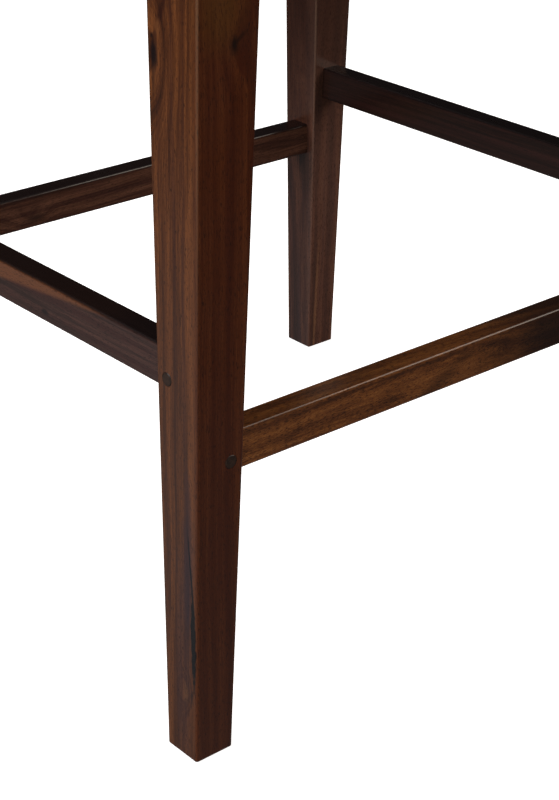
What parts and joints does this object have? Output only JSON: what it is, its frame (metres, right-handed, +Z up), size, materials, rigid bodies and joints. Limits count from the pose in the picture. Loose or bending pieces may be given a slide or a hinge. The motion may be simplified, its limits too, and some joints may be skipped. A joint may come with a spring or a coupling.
{
  "type": "bar stool with footrest",
  "caption": "Backless walnut counter stool with tapered square legs, pegged stretchers, a front footrest and an upholstered leather seat.",
  "frame": {"origin": "on the floor under the middle of the stool", "axes": "+Z up, +X to the right along the footrest, -Y towards the front where the footrest is"},
  "size_m": [0.466, 0.42, 0.66],
  "materials": {
    "walnut": "dark walnut, satin lacquer",
    "peg_wood": "end grain of dark hardwood pegs, lacquered",
    "block_wood": "plain poplar, unfinished",
    "screw_steel": "zinc-plated, satin",
    "plywood": "birch plywood, raw edge",
    "foam": "open-cell upholstery foam",
    "leather": "dark brown leather, semi-matt",
    "dust_cloth": "black spun-bonded dust cloth",
    "staple_wire": "galvanised wire"
  },
  "bodies": {
    "root": {"leg_front_left": "walnut", "leg_front_right": "walnut", "leg_back_left": "walnut", "leg_back_right": "walnut", "footrest_front": "walnut", "rail_back": "walnut", "rail_left": "walnut", "rail_right": "walnut", "apron_front": "walnut", "apron_back": "walnut", "apron_left": "walnut", "apron_right": "walnut", "rail_pegs": "peg_wood", "apron_pegs": "peg_wood", "corner_block_front_left": "block_wood", "corner_block_front_right": "block_wood", "corner_block_back_left": "block_wood", "corner_block_back_right": "block_wood", "block_screws": "screw_steel", "seat_screws": "screw_steel", "seat_board": "plywood", "seat_foam": "foam", "seat_cover": "leather", "seat_welt": "leather", "dust_cover": "dust_cloth", "staples": "staple_wire"}
  },
  "joints": []
}
